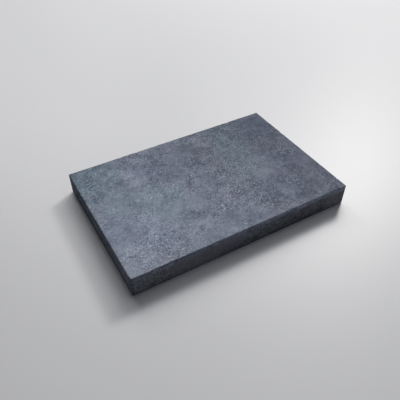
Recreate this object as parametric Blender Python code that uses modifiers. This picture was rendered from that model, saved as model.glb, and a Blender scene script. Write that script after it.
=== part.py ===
"""Basalt massage stone: one rectangular slab of dense grey basalt.

The slab is sawn to size, honed on its working face, and every edge is eased so that
nothing sharp meets the skin. It is a single piece of stone with no joints.

Units are metres and +Z is up. The origin is the middle of the resting face, and +X
runs along the length of the slab.
"""

import bmesh
import bpy
from mathutils import Matrix

# The sawn block.
LENGTH = 0.150
WIDTH = 0.100
THICKNESS = 0.015

# How far each group of edges is rounded over.
UPRIGHT_EDGE_RADIUS = 0.0009
WORKING_EDGE_RADIUS = 0.0007
RESTING_EDGE_RADIUS = 0.0005

# Flats along each rounded edge.
EDGE_SEGMENTS = 6

BASALT_COLOUR = (0.155, 0.170, 0.200, 1.0)
BASALT_ROUGHNESS = 0.55


def clear_scene():
    """Remove every object, so that the part is built in an empty scene."""
    for obj in list(bpy.data.objects):
        bpy.data.objects.remove(obj, do_unlink=True)


def new_collection(name):
    collection = bpy.data.collections.new(name)
    bpy.context.scene.collection.children.link(collection)
    return collection


def honed_basalt():
    """Dense, fine-grained grey stone with a dry honed surface."""
    material = bpy.data.materials.new("honed_basalt")
    material.use_nodes = True
    shader = material.node_tree.nodes["Principled BSDF"]
    shader.inputs["Base Color"].default_value = BASALT_COLOUR
    shader.inputs["Roughness"].default_value = BASALT_ROUGHNESS
    shader.inputs["Metallic"].default_value = 0.0
    return material


def sawn_block():
    """The plain block, standing on z = 0 with its middle over the origin."""
    block = bmesh.new()
    bmesh.ops.create_cube(block, size=1.0)
    size = Matrix.Diagonal((LENGTH, WIDTH, THICKNESS, 1.0))
    lift = Matrix.Translation((0.0, 0.0, THICKNESS / 2))
    block.transform(lift @ size)
    return block


def edge_radius(edge):
    """The radius that an edge of the sawn block is rounded to."""
    low, high = sorted(vert.co.z for vert in edge.verts)
    if high - low > THICKNESS / 2:
        return UPRIGHT_EDGE_RADIUS
    if low > THICKNESS / 2:
        return WORKING_EDGE_RADIUS
    return RESTING_EDGE_RADIUS


def basalt_slab(collection):
    """The stone: the sawn block with its twelve edges rounded over."""
    largest = max(UPRIGHT_EDGE_RADIUS, WORKING_EDGE_RADIUS, RESTING_EDGE_RADIUS)
    block = sawn_block()
    weight = block.edges.layers.float.new("bevel_weight_edge")
    for edge in block.edges:
        edge[weight] = edge_radius(edge) / largest

    mesh = bpy.data.meshes.new("basalt_slab")
    block.to_mesh(mesh)
    block.free()
    mesh.materials.append(honed_basalt())
    mesh.shade_smooth()

    slab = bpy.data.objects.new("basalt_slab", mesh)
    collection.objects.link(slab)
    rounding = slab.modifiers.new("eased_edges", "BEVEL")
    rounding.limit_method = "WEIGHT"
    rounding.width = largest
    rounding.segments = EDGE_SEGMENTS
    rounding.harden_normals = True
    return slab


clear_scene()
basalt_slab(new_collection("basalt_massage_stone"))
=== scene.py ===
import math
import random

import bmesh
import bpy
import numpy as np
from mathutils import Matrix, Vector, noise


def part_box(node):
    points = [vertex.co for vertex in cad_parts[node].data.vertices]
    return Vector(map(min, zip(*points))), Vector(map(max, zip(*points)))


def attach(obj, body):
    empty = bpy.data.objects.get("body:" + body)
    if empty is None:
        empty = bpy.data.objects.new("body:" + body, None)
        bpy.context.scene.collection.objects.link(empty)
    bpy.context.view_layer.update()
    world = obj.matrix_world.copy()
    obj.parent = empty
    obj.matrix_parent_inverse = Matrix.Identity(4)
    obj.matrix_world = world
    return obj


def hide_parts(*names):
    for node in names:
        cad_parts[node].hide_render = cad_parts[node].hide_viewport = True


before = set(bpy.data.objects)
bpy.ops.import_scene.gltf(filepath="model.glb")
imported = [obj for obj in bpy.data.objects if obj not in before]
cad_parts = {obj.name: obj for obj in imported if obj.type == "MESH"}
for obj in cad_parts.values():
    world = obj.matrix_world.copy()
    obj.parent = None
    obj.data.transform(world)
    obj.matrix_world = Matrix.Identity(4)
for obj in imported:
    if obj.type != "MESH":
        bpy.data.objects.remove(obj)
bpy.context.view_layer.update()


# ---------------------------------------------------------------------------------------------
# The sawn block
# One piece of dense basalt, cut to size with a wet diamond saw. It starts as a plain block
# whose faces get smaller towards its edges, because that is where the hand work is.

MM = 0.001
LOW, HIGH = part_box("basalt_slab")
COARSE_FACE = 1.7 * MM
EDGE_BANDS = (5.0 * MM, 2.6 * MM, 1.3 * MM)  # inside each band the faces are half as wide
HAIR = 0.01 * MM  # a point this close to a band still counts as inside it


def reach_from_edge(point):
    """How far a point of the block's surface lies from the nearest edge of the block."""
    gaps = [min(c - low, high - c) for c, low, high in zip(point, LOW, HIGH)]
    return sorted(gaps)[1]


def sawn_block():
    block = bmesh.new()
    bmesh.ops.create_cube(block, size=1.0)
    middle = Matrix.Translation((LOW + HIGH) / 2)
    block.transform(middle @ Matrix.Diagonal((*(HIGH - LOW), 1.0)))
    for axis in range(3):
        across = Vector(1.0 if i == axis else 0.0 for i in range(3))
        steps = round((HIGH[axis] - LOW[axis]) / COARSE_FACE)
        for step in range(1, steps):
            place = LOW.lerp(HIGH, step / steps)
            everything = block.verts[:] + block.edges[:] + block.faces[:]
            bmesh.ops.bisect_plane(block, geom=everything, plane_co=place, plane_no=across)
    for band in EDGE_BANDS:
        near = {v for v in block.verts if reach_from_edge(v.co) < band + HAIR}
        chosen = [e for e in block.edges if e.verts[0] in near and e.verts[1] in near]
        bmesh.ops.subdivide_edges(block, edges=chosen, cuts=1, use_grid_fill=True)
    many_sided = [face for face in block.faces if len(face.verts) > 4]
    bmesh.ops.triangulate(block, faces=many_sided)
    return block


block = sawn_block()
slab_mesh = bpy.data.meshes.new("basalt_slab_honed")
block.to_mesh(slab_mesh)
block.free()
sawn = np.empty(len(slab_mesh.vertices) * 3)
slab_mesh.vertices.foreach_get("co", sawn)
sawn = sawn.reshape(-1, 3)


# ---------------------------------------------------------------------------------------------
# The block's sides laid flat
# The six sides of the block as flat rectangles on one square sheet, so that the stone's
# colour can be laid over it at one scale. The resting side is at half the scale of the rest.

SHEET = 190.0 * MM
TOUCHING = 1e-7  # a point nearer to a side than this, in metres, lies on it

# For each side: the axis it faces and which way, the directions of the block that run across
# and up its rectangle, the rectangle's corner on the sheet, and its scale.
SIDES = (
    (2, 1.0, (1, 0, 0), (0, 1, 0), (2.0 * MM, 2.0 * MM), 1.0),
    (1, -1.0, (1, 0, 0), (0, 0, 1), (2.0 * MM, 104.0 * MM), 1.0),
    (1, 1.0, (-1, 0, 0), (0, 0, 1), (2.0 * MM, 121.0 * MM), 1.0),
    (0, -1.0, (0, 0, 1), (0, 1, 0), (154.0 * MM, 2.0 * MM), 1.0),
    (0, 1.0, (0, 0, -1), (0, 1, 0), (171.0 * MM, 2.0 * MM), 1.0),
    (2, -1.0, (-1, 0, 0), (0, 1, 0), (2.0 * MM, 138.0 * MM), 0.5),
)


def along(points, direction):
    """How far the points lie along one of the block's edges, from where it begins."""
    start = LOW if sum(direction) > 0 else HIGH
    return (points - np.array(start)) @ np.array(direction, dtype=float)


def lay_flat(mesh, points):
    loop_points = np.empty(len(mesh.loops), dtype=np.int64)
    mesh.loops.foreach_get("vertex_index", loop_points)
    starts = np.empty(len(mesh.polygons), dtype=np.int64)
    mesh.polygons.foreach_get("loop_start", starts)
    corners = points[loop_points]
    least, most = np.minimum.reduceat(corners, starts), np.maximum.reduceat(corners, starts)
    counts = np.diff(np.append(starts, len(corners)))
    sheet = np.zeros((len(corners), 2))
    for axis, way, across, up, corner, scale in SIDES:
        level = HIGH[axis] if way > 0 else LOW[axis]
        off_side = np.maximum(abs(least[:, axis] - level), abs(most[:, axis] - level))
        chosen = np.repeat(off_side < TOUCHING, counts)
        sheet[chosen, 0] = corner[0] + scale * along(corners[chosen], across)
        sheet[chosen, 1] = corner[1] + scale * along(corners[chosen], up)
    mesh.uv_layers.new(name="OFBake").data.foreach_set("uv", (sheet / SHEET).ravel())


lay_flat(slab_mesh, sawn)


# ---------------------------------------------------------------------------------------------
# Easing and wear
# The edges are eased by hand with an abrasive block, so their roundness wanders. One long
# edge has been handled most and rolls over softly towards one end. Small flakes have sprung
# from the edges, and the faces are a few hundredths of a millimetre from true.

WORKING_EDGE = 0.45 * MM
RESTING_EDGE = 0.95 * MM
UPRIGHT_EDGE = 0.60 * MM
WORN_EDGE_GROWTH = 1.5
WORN_FROM, WORN_TO = -25.0 * MM, 55.0 * MM  # along the near edge
WORN_BAND = (6.0 * MM, 2.0 * MM)  # in from the near side: where wear begins and is full
EDGE_DROP = 0.25 * MM  # how far easing lowers an upright edge below the sawn one
FLAKES = 90  # tries: a shallow one takes nothing off where the edge is eased further in
FLAKE_REACH = (1.2, 4.5)  # the radius of a flake's hollow, in millimetres
FLAKE_DEPTH = (0.03, 0.20)  # below an eased upright edge, in millimetres
KNOCKS = (-60.3 * MM, -50.7 * MM, -22.0 * MM, 14.0 * MM)  # along the near edge
KNOCK_OUTWARD = (0.1, -1.0, 0.45)
KNOCK_REACH = 5.0 * MM
KNOCK_DEPTH = 0.12 * MM
FACE_ERROR = 0.035 * MM
FACE_SWELL = 28.0 * MM  # how wide the faces' hollows and swellings are
RAGGED_BAND = 1.3 * MM
RAGGED_DEPTH = 0.05 * MM
RAGGED_SIZE = 0.9 * MM


def smooth_step(value, start, end):
    t = np.clip((value - start) / (end - start), 0.0, 1.0)
    return t * t * (3.0 - 2.0 * t)


def wander(points, size, seed):
    """Smooth noise between about -1 and 1 that changes over the given size."""
    shift = Vector((seed, -seed, 2.0 * seed))
    return np.array([noise.noise(Vector(p) / size + shift) for p in points])


def eased_radius(points):
    """How round the nearest edges are at each of the block's points."""
    x, y, z = points.T
    half = (HIGH.z - LOW.z) / 2
    height = (z - LOW.z - half) / half
    flat = np.where(height > 0.0, WORKING_EDGE, RESTING_EDGE)
    radius = UPRIGHT_EDGE + (flat - UPRIGHT_EDGE) * smooth_step(abs(height), 0.4, 0.95)
    front = smooth_step(y - LOW.y, *WORN_BAND) * smooth_step(height, 0.0, 0.6)
    worn = front * smooth_step(x, WORN_FROM, WORN_TO) * smooth_step(HIGH.x - x, 1.5 * MM, 7.0 * MM)
    radius = radius * (1.0 + WORN_EDGE_GROWTH * worn)
    uneven = 0.25 * wander(points, 11.0 * MM, 3.0) + 0.18 * wander(points, 3.0 * MM, 7.0)
    return radius * (1.0 + uneven)


def eased(points):
    """The block's points drawn in onto rounded edges."""
    radius = eased_radius(points)[:, None]
    core = np.clip(points, np.array(LOW) + radius, np.array(HIGH) - radius)
    out = points - core
    return core + out * radius / np.linalg.norm(out, axis=1)[:, None]


def scooped(points, edge_point, outward, reach, depth):
    """The points with a shallow round scoop of the given depth taken out at an edge."""
    outward = np.array(outward) / np.linalg.norm(outward)
    centre = np.array(edge_point) + outward * (reach - EDGE_DROP - depth)
    away = points - centre
    distance = np.linalg.norm(away, axis=1)
    inside = distance < reach
    points[inside] = centre + away[inside] * (reach / distance[inside])[:, None]
    return points


def chipped(points):
    """Small flakes have sprung from the edges, and a few knocks have bruised the near one."""
    dice = random.Random(41)
    # An edge lies where the faces of two axes meet and runs along the third.
    pairs = [(a, b) for a in range(3) for b in range(3) if a < b]
    lengths = [HIGH[3 - a - b] - LOW[3 - a - b] for a, b in pairs]
    for _ in range(FLAKES):
        a, b = dice.choices(pairs, lengths)[0]
        run = 3 - a - b
        outward = np.zeros(3)
        outward[a] = dice.choice((-1.0, 1.0)) * dice.uniform(0.6, 1.4)
        outward[b] = dice.choice((-1.0, 1.0)) * dice.uniform(0.6, 1.4)
        corner = np.where(outward > 0.0, HIGH, LOW)
        corner[run] = dice.uniform(LOW[run], HIGH[run])
        outward[run] = dice.uniform(-0.3, 0.3)
        reach = dice.uniform(*FLAKE_REACH) * MM
        depth = dice.uniform(*FLAKE_DEPTH) * MM
        points = scooped(points, corner, outward, reach, depth)
    for east in KNOCKS:
        corner = (east, LOW.y, HIGH.z)
        points = scooped(points, corner, KNOCK_OUTWARD, KNOCK_REACH, KNOCK_DEPTH)
    return points


def out_of_true(points, sawn_points):
    """Faces that are nearly flat, and an edge that is a little ragged."""
    inward = np.zeros_like(points)
    for axis in range(3):
        for side, sign in ((LOW, 1.0), (HIGH, -1.0)):
            on_face = abs(sawn_points[:, axis] - side[axis]) < TOUCHING
            swell = wander(sawn_points[on_face], FACE_SWELL, 5.0 + axis)
            inward[on_face, axis] += sign * (FACE_ERROR * (1.0 + swell))
    gaps = np.minimum(sawn_points - np.array(LOW), np.array(HIGH) - sawn_points)
    close = np.sort(gaps, axis=1)[:, 1] < RAGGED_BAND
    rough = 0.5 + 0.5 * wander(sawn_points[close], RAGGED_SIZE, 11.0)
    to_core = np.sign(np.array(LOW + HIGH) / 2 - sawn_points[close])
    near_edge = smooth_step(gaps[close], 1.0 * MM, 0.2 * MM)
    inward[close] += to_core * near_edge * (RAGGED_DEPTH * rough)[:, None]
    return points + inward


shape = out_of_true(chipped(eased(sawn)), sawn)
slab_mesh.vertices.foreach_set("co", shape.ravel())
slab_mesh.shade_smooth()
slab_mesh.update()

slab = bpy.data.objects.new("basalt_slab_honed", slab_mesh)
bpy.context.scene.collection.objects.link(slab)
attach(slab, "root")
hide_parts("basalt_slab")


# ---------------------------------------------------------------------------------------------
# The stone's finish
# Fine-grained grey basalt. The working face is honed and left dry, which lightens it and
# brings out the rock's clouds and mineral grains. The sides and the resting face are as sawn
# and darker. Hands and massage oil have darkened the edges. The working face is painted darker
# towards its right end and the left end face is painted darker, both painted shade, and the
# worn edge is painted lighter, a painted light.


class Field:
    """One output of a material's nodes: a value or a colour that varies over the stone."""

    def __init__(self, socket):
        self.socket = socket

    def node(self, kind, settings=None, inputs=None, output=0):
        """Adds a node beside this one: its settings first, then its sockets' values or links."""
        tree = self.socket.id_data
        made = tree.nodes.new(kind)
        for name, value in (settings or {}).items():
            setattr(made, name, value)
        for name, value in (inputs or {}).items():
            if isinstance(value, Field):
                tree.links.new(value.socket, made.inputs[name])
            else:
                made.inputs[name].default_value = value
        return Field(made.outputs[output])

    def math(self, operation, first, second=0.0):
        return self.node("ShaderNodeMath", {"operation": operation}, {0: first, 1: second})

    def __add__(self, other):
        return self.math("ADD", self, other)

    __radd__ = __add__

    def __sub__(self, other):
        return self.math("SUBTRACT", self, other)

    def __rsub__(self, other):
        return self.math("SUBTRACT", other, self)

    def __mul__(self, other):
        return self.math("MULTIPLY", self, other)

    __rmul__ = __mul__

    def __truediv__(self, other):
        return self.math("DIVIDE", self, other)

    def __abs__(self):
        return self.math("ABSOLUTE", self)

    def at_most(self, other):
        return self.math("MINIMUM", self, other)

    def at_least(self, other):
        return self.math("MAXIMUM", self, other)

    def over(self, start, end):
        """A smooth 0 to 1 as this value goes from start to end."""
        settings = {"interpolation_type": "SMOOTHSTEP"}
        inputs = {"Value": self, "From Min": start, "From Max": end}
        return self.node("ShaderNodeMapRange", settings, inputs)

    def vector(self, operation, other, output=0):
        inputs = {0: self, 1: other}
        return self.node("ShaderNodeVectorMath", {"operation": operation}, inputs, output)

    def noise(self, size, seed, detail=1.0, distortion=0.0):
        """Cloudy noise of about -1 to 1 at this place, whose features are about size wide.

        Each seed reads another part of the same noise.
        """
        place = self.vector("ADD", (37.0 * seed, -53.0 * seed, 71.0 * seed))
        inputs = {"Vector": place, "Scale": 1.0 / size, "Detail": detail, "Roughness": 0.55}
        inputs["Distortion"] = distortion
        return 4.0 * (self.node("ShaderNodeTexNoise", None, inputs) - 0.5)

    def specks(self, spacing, size, share, seed):
        """Round specks of the given size at this place, in this share of the cells of a grid."""
        place = self.vector("ADD", (41.0 * seed, 59.0 * seed, -67.0 * seed))
        cells = {"Vector": place, "Scale": 1.0 / spacing}
        gap = self.node("ShaderNodeTexVoronoi", None, cells)
        middle = self.node("ShaderNodeTexVoronoi", None, cells, "Position")
        chance = self.node("ShaderNodeTexWhiteNoise", None, {"Vector": middle})
        half = size / 2 / spacing
        return gap.over(1.3 * half, 0.7 * half) * chance.over(share + 0.02, share - 0.02)

    def patch(self, east, north, radius):
        """A soft round patch of the working face: 1 in its middle, 0 outside."""
        middle = (east + DRIFT / 2, north + DRIFT / 2, high.z)
        return self.vector("DISTANCE", middle, output="Value").over(1.5 * radius, 0.4 * radius)

    def blend(self, first, second):
        """Mixes two colours by this value: 0 is the first and 1 the second."""
        settings = {"data_type": "RGBA"}
        return self.node("ShaderNodeMix", settings, {0: self, 6: first, 7: second}, output=2)

    def tint(self, colour):
        """This brightness as a colour of the given hue."""
        inputs = {0: colour, "Scale": self}
        return self.node("ShaderNodeVectorMath", {"operation": "SCALE"}, inputs)


DRY_GREY_SLATE = (0.199, 0.229, 0.300, 1.0)
DRY_GREY_TEAL = (0.182, 0.241, 0.304, 1.0)
DRY_GREY_BLUE = (0.193, 0.229, 0.316, 1.0)
DRY_GRAIN = (0.213, 0.230, 0.262, 1.0)
SAWN_GREY = (0.107, 0.115, 0.139, 1.0)
SAWN_GREY_BLUE = (0.104, 0.125, 0.176, 1.0)
SAWN_GRAIN = (0.140, 0.147, 0.170, 1.0)
# Oiled colours, also used for painted shade.
OILED_AND_PAINTED_SHADE_FACE = (0.058, 0.070, 0.107, 1.0)
OILED_AND_PAINTED_SHADE_SIDE = (0.026, 0.040, 0.062, 1.0)
GRAIN_HEIGHT = 0.12 * MM  # how far the grain stands up

# Where each finish begins and where it is full, in millimetres.
HONED_DEPTH = (0.75, 0.25)  # below the working face
OILED_EDGE = (2.0, 0.9)  # from an upright edge
# Painted shade on the working face, darker towards its right end:
END_SHADE_SPAN = (-45.0, 105.0)  # along the slab
# Painted shade on the left end face:
LEFT_END_FACE = (1.2, 0.3)  # in from the left short side
LIGHTER_BAND_DEPTH = (4.6, 1.6)  # below the working face, as are the next two
BLUISH_DEPTH = (5.5, 2.0)
FOOT_DEPTH = (5.0, 11.0)
BRUISE = (2.4, 0.8)  # from the middle of a knock

# The rock's clouds on the working face: middle x and y and radius in millimetres, and how much
# lighter or darker the rock is there. Their outlines wander by the drift.
DRIFT = 20.0
DRIFT_SIZE = 12.0
CLOUDS = (
    (-43, 26, 12, 0.15),
    (-70, 48, 17, -0.26),
    (-66, 28, 9, -0.12),
    (-68, -46, 20, 0.28),
    (-34, -6, 20, 0.12),
    (-59, -18, 16, 0.18),
    (-31, -34, 12, 0.12),
    (-24, 28, 13, -0.20),
    (-24, 46, 8, 0.10),
    (0, 24, 16, -0.14),
    (-13, -27, 8, -0.10),
    (24, 22, 14, 0.08),
    (40, 42, 10, 0.08),
    (34, -4, 12, 0.24),
    (2, -27, 12, 0.08),
    (14, -30, 9, -0.06),
    (36, -32, 14, -0.12),
    (66, 30, 12, -0.24),
    (57, 0, 12, -0.14),
    (58, -26, 20, -0.10),
    (64, -44, 9, -0.12),
    (-38, -48, 7, 0.14),
    (-8, -49, 7, 0.10),
    (23, -47, 8, -0.12),
)

# Where the rock is tinted greener or bluer: middle x and y and radius in millimetres.
TEAL_PATCHES = (
    (-66, 38, 22),
    (-56, 2, 14),
    (-34, -4, 16),
    (42, 42, 10),
    (37, 26, 11),
    (33, 10, 12),
    (30, -4, 12),
)
BLUE_PATCHES = (
    (-66, -16, 13),
    (-50, -26, 13),
    (-30, 26, 8),
    (64, 34, 16),
    (56, -8, 12),
    (38, -30, 12),
)

basalt = bpy.data.materials.new("honed_basalt")
basalt.use_nodes = True
shader = basalt.node_tree.nodes["Principled BSDF"]
metres = Field(shader.outputs[0]).node("ShaderNodeTexCoord", output="Object")
place = metres.vector("DIVIDE", (MM, MM, MM))
x, y, z = (place.node("ShaderNodeSeparateXYZ", None, {0: place}, axis) for axis in range(3))
low, high = LOW / MM, HIGH / MM

# Where hands and tools have been, and where shade is painted. All of these run from 0 to 1.
worn_from_side = [low.y + depth / MM for depth in WORN_BAND]
worn = x.over(WORN_FROM / MM, WORN_TO / MM) * y.over(*worn_from_side)
face_reach = 0.15 * place.noise(2.5, seed=14.0)
# Along the worn stretch the honed colour reaches further down the rolled-over edge, in part painted
# light that makes up for that edge's shade.
face_reach = face_reach + worn * (0.5 + 0.9 * place.noise(2.8, seed=15.0))
honed = (z + face_reach).over(high.z - HONED_DEPTH[0], high.z - HONED_DEPTH[1])
end_gap = (x - low.x).at_most(high.x - x)
side_gap = (y - low.y).at_most(high.y - y)
off_upright = end_gap + side_gap + 0.25 * place.noise(4.0, seed=1.0)
edge_oil = off_upright.over(*OILED_EDGE)
# Painted shade: the working face darkens towards its right end.
painted_end_shade = (x + 0.3 * y + 6.0 * place.noise(16.0, seed=2.0, detail=2.0)).over(*END_SHADE_SPAN)
# Painted shade on the left end face, which is also tinted bluer.
left_end_shade_and_tint = x.over(low.x + LEFT_END_FACE[0], low.x + LEFT_END_FACE[1])

# The rock's tone: clouds, mottles and grains, from wide to fine.
drift_inputs = {"Vector": place, "Scale": 1.0 / DRIFT_SIZE, "Detail": 3.0}
drift = place.node("ShaderNodeTexNoise", None, drift_inputs, "Color")
drifted = place.vector("ADD", drift.vector("MULTIPLY", (DRIFT, DRIFT, 0.0)))
# The clouds' base slopes from lighter at the near left to darker at the far right: painted shading
# across the working face.
clouds_and_painted_shading = 0.135 - 0.08 * (x + 1.6 * y) / 60.0
for east, north, radius, strength in CLOUDS:
    clouds_and_painted_shading = clouds_and_painted_shading + strength * drifted.patch(east, north, radius)
mottle = 0.33 * place.noise(11.0, seed=3.0, detail=2.0) + 0.13 * place.noise(5.0, seed=4.0)
crystals = 0.23 * place.noise(2.8, seed=5.0, distortion=0.8)
crystals = crystals + 0.32 * place.noise(1.3, seed=6.0, distortion=0.6)
crystals = crystals + (0.62 - 0.20 * honed) * place.noise(0.75, seed=19.0)
needles = abs(place.noise(2.3, seed=7.0, detail=0.0, distortion=1.5)).over(0.40, 0.0) - 0.5

# Strokes of crystals lie slantwise across the slab, over three times as long as wide.
lean = {"X": (0.55 * x + 0.83 * y) / 3.2, "Y": (0.83 * x - 0.55 * y) / 0.95, "Z": z / 1.5}
strokes = place.node("ShaderNodeCombineXYZ", None, lean).noise(1.0, seed=17.0)
strokes = 0.45 * strokes * place.noise(22.0, seed=20.0).over(-0.2, 0.6)
light_specks = place.specks(spacing=1.9, size=0.70, share=0.50, seed=8.0)
dark_specks = place.specks(spacing=2.1, size=0.80, share=0.18, seed=9.0)
coarser = 0.75 + 0.45 * place.noise(15.0, seed=13.0)
coarser = coarser + 0.35 * drifted.patch(4, -28, 16) + 0.45 * drifted.patch(-62, -42, 13)
grain = crystals + 0.45 * needles + strokes + light_specks - 0.15 * dark_specks

# Just under the working face the sides are lighter. Towards the worn end this is painted light
# that makes up for the shade of the rolled-over edge, and the knocks leave lighter bruises.
below = high.z - z + place.noise(5.0, seed=11.0, detail=2.0)
lighter_band_and_bruises = below.over(*LIGHTER_BAND_DEPTH) * (1.0 - honed) * (0.5 + 0.6 * place.noise(6.0, seed=16.0))
lighter_band_and_bruises = lighter_band_and_bruises * (0.35 + 0.55 * x.over(-10.0, 40.0))
for east in KNOCKS:
    bruise = place.vector("DISTANCE", (east / MM, low.y, high.z - 1.6), output="Value")
    lighter_band_and_bruises = lighter_band_and_bruises + 0.6 * bruise.over(*BRUISE)

# The stone's own colour, dry and oiled, honed and sawn; the oiled colour also carries painted
# shade.
teal = 0.35 * place.noise(14.0, seed=10.0, detail=2.0)
teal = teal + 0.60 * place.noise(5.0, seed=18.0, detail=2.0)
for east, north, radius in TEAL_PATCHES:
    teal = teal + drifted.patch(east, north, radius)
blue = 0.60 * place.noise(5.0, seed=21.0, detail=2.0)
for east, north, radius in BLUE_PATCHES:
    blue = blue + drifted.patch(east, north, radius)
slate = teal.over(0.0, 1.0).blend(DRY_GREY_SLATE, DRY_GREY_TEAL)
dry = blue.over(0.0, 1.0).blend(slate, DRY_GREY_BLUE)
bluish = (below.over(*BLUISH_DEPTH) + left_end_shade_and_tint).at_most(1.0)
sawn_stone = bluish.blend(SAWN_GREY, SAWN_GREY_BLUE)
# Oil darkens the upright edges; the same mix carries the painted shade of the working face's right
# end and of the left end face.
oil_and_painted_shade = 1.0 - (1.0 - 0.62 * painted_end_shade * honed) * (1.0 - 0.65 * edge_oil) * (1.0 - 0.30 * left_end_shade_and_tint)
ground = oil_and_painted_shade.blend(honed.blend(sawn_stone, dry), honed.blend(OILED_AND_PAINTED_SHADE_SIDE, OILED_AND_PAINTED_SHADE_FACE))

# The sides carry faint saw lines. Their foot is lighter at the left end, and past the middle it
# is painted darker, a painted shade. At the left end a painted shade line runs just under the
# working face, and near the left end the sides are painted darker, a painted shade.
saw_lines = place.vector("MULTIPLY", (0.12, 0.12, 1.0)).noise(0.55, seed=12.0)
foot_tone_and_painted_shade = below.over(*FOOT_DEPTH) * (0.16 - 0.38 * x.over(-40.0, 10.0) * x.over(64.0, 56.0))
painted_shade_line = (below.over(0.4, 1.0) - below.over(1.5, 2.4)) * x.over(-30.0, -50.0)
sides = lighter_band_and_bruises + 0.14 * saw_lines + foot_tone_and_painted_shade - 0.35 * painted_shade_line - 0.20 * x.over(-50.0, -60.0)

# The worn stretch of the near edge is painted lighter, painted light that makes up for the shade
# of its rolled-over edge, and oil and painted shade even out the grain.
painted_light_on_worn_edge = worn * (2.2 * (y - low.y) + (high.z - z)).over(3.2, 1.2)
tone = clouds_and_painted_shading + mottle * (0.5 + 0.5 * honed) + coarser * grain
tone = tone + (1.0 - honed) * sides + 0.30 * painted_light_on_worn_edge
tone = tone.at_least(-0.60 + 0.10 * honed) * (1.0 - 0.6 * oil_and_painted_shade)
colour = ground.vector("ADD", tone.tint(honed.blend(SAWN_GRAIN, DRY_GRAIN)))
basalt.node_tree.links.new(colour.socket, shader.inputs["Base Color"])

# Honed stone is a little smoother than sawn stone, and oiled stone smoother again.
roughness = 0.84 - 0.05 * honed + 0.05 * mottle - 0.08 * edge_oil
basalt.node_tree.links.new(roughness.socket, shader.inputs["Roughness"])

# The surface stands up in fine grains, and the saw has left faint lines on the sides.
relief = 0.6 * crystals + 0.5 * needles - 0.4 * dark_specks + (1.0 - honed) * 0.15 * saw_lines
bump_inputs = {"Strength": 0.5, "Distance": GRAIN_HEIGHT, "Height": relief}
bump = relief.node("ShaderNodeBump", None, bump_inputs)
basalt.node_tree.links.new(bump.socket, shader.inputs["Normal"])
slab_mesh.materials.append(basalt)


# ---------------------------------------------------------------------------------------------
# The table and its backdrop
# A pale board with a satin finish, far larger than the stone, inside a round pale screen.
# The screen gives the camera something to look at and sheds no light on the stone.

TABLE_SIZE = 6.0
TABLE_GREY = (0.803, 0.808, 0.827, 1.0)
TABLE_ROUGHNESS = 0.4

table_mesh = bpy.data.meshes.new("table")
flat = bmesh.new()
bmesh.ops.create_grid(flat, x_segments=1, y_segments=1, size=TABLE_SIZE / 2)
flat.to_mesh(table_mesh)
flat.free()
table = bpy.data.objects.new("table", table_mesh)
bpy.context.scene.collection.objects.link(table)
board = bpy.data.materials.new("satin_board")
board.use_nodes = True
board_shader = board.node_tree.nodes["Principled BSDF"]
board_shader.inputs["Base Color"].default_value = TABLE_GREY
board_shader.inputs["Roughness"].default_value = TABLE_ROUGHNESS
table_mesh.materials.append(board)

SCREEN_RADIUS = 1.1
SCREEN_HEIGHT = 3.0
SCREEN_SIDES = 96
SCREEN_GREY = (0.30, 0.303, 0.310, 1.0)

screen_mesh = bpy.data.meshes.new("screen")
ring = bmesh.new()
radii = {"radius1": SCREEN_RADIUS, "radius2": SCREEN_RADIUS}
bmesh.ops.create_cone(ring, segments=SCREEN_SIDES, depth=SCREEN_HEIGHT, **radii)
ring.to_mesh(screen_mesh)
ring.free()
screen_mesh.shade_smooth()
screen = bpy.data.objects.new("screen", screen_mesh)
screen.visible_diffuse = False
screen.visible_glossy = False
screen.visible_transmission = False
screen.visible_shadow = False
bpy.context.scene.collection.objects.link(screen)
paper = bpy.data.materials.new("pale_paper")
paper.use_nodes = True
paper_shader = paper.node_tree.nodes["Principled BSDF"]
paper_shader.inputs["Base Color"].default_value = (0.0, 0.0, 0.0, 1.0)
paper_shader.inputs["Specular IOR Level"].default_value = 0.0
paper_shader.inputs["Emission Color"].default_value = SCREEN_GREY
paper_shader.inputs["Emission Strength"].default_value = 1.0
screen_mesh.materials.append(paper)


# ---------------------------------------------------------------------------------------------
# The lamps and the room
# A soft lamp stands behind the stone and to its right and throws its shadow. A wider one beside
# it and one straight behind soften that shadow. Weaker, slightly bluer panels fill from
# behind, above, the right and the front.

LAMP_DISTANCE = 1.2
WARM = (1.01, 1.0, 0.98)
COOL = (0.965, 0.98, 1.045)
ROOM_BLUE = (0.9, 0.95, 1.0, 1.0)
ROOM_STRENGTH = 0.01


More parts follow.
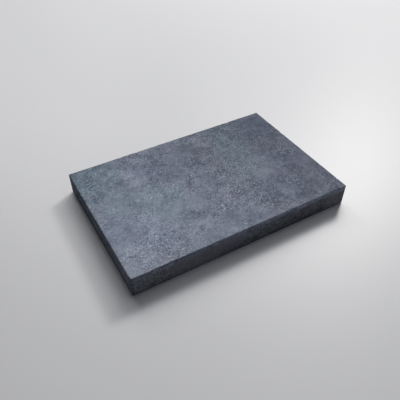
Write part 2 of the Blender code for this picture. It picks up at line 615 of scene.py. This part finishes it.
def soft_lamp(name, bearing, height_angle, width, height, watts, tint):
    """A soft panel that faces the stone; its bearing turns from +X towards +Y."""
    turn, lift = math.radians(bearing), math.radians(height_angle)
    level = math.cos(lift)
    away = Vector((level * math.cos(turn), level * math.sin(turn), math.sin(lift)))
    light = bpy.data.lights.new(name, "AREA")
    light.shape = "RECTANGLE"
    light.size = width
    light.size_y = height
    light.energy = watts
    light.color = tint
    lamp = bpy.data.objects.new(name, light)
    lamp.location = away * LAMP_DISTANCE
    lamp.rotation_euler = (-away).to_track_quat("-Z", "Y").to_euler()
    lamp.visible_camera = False
    bpy.context.scene.collection.objects.link(lamp)


# Bearing and height in degrees, width and height in metres, and watts.
soft_lamp("key", 31, 38, 0.26, 0.22, 4.2, WARM)
soft_lamp("key_wide", 45, 45, 0.60, 0.50, 4.8, WARM)
soft_lamp("back", 85, 36, 0.50, 0.40, 2.0, WARM)
soft_lamp("back_low", 102, 9, 0.40, 0.30, 0.9, COOL)
soft_lamp("back_left", 96, 60, 0.40, 0.40, 0.8, COOL)
soft_lamp("overhead", 20, 76, 0.50, 0.50, 1.2, COOL)
soft_lamp("right", -30, 60, 0.40, 0.40, 0.35, COOL)
soft_lamp("front_fill", 285, 30, 0.80, 0.60, 0.50, COOL)

room = bpy.data.worlds.new("room")
room.use_nodes = True
room_light = room.node_tree.nodes["Background"]
room_light.inputs["Color"].default_value = ROOM_BLUE
room_light.inputs["Strength"].default_value = ROOM_STRENGTH
bpy.context.scene.world = room
bpy.context.scene.view_settings.view_transform = "Standard"


# ---------------------------------------------------------------------------------------------
# The camera
# It stands off the near left corner of the stone, about 21 cm above the table, and looks down
# across the stone at a point beside its middle.

CAMERA_PLACE = Vector((-0.12009, -0.20324, 0.21390))
CAMERA_AIM = Vector((-0.00450, -0.00075, 0.0))
CAMERA_ROLL = math.radians(-0.254)
CAMERA_LENS = 42.87
SENSOR_WIDTH = 36.0

optics = bpy.data.cameras.new("camera")
optics.sensor_width = SENSOR_WIDTH
optics.lens = CAMERA_LENS
camera = bpy.data.objects.new("camera", optics)
turn = (CAMERA_AIM - CAMERA_PLACE).to_track_quat("-Z", "Y").to_matrix().to_4x4()
camera.matrix_world = Matrix.Translation(CAMERA_PLACE) @ turn @ Matrix.Rotation(CAMERA_ROLL, 4, "Z")
bpy.context.scene.collection.objects.link(camera)
bpy.context.scene.camera = camera
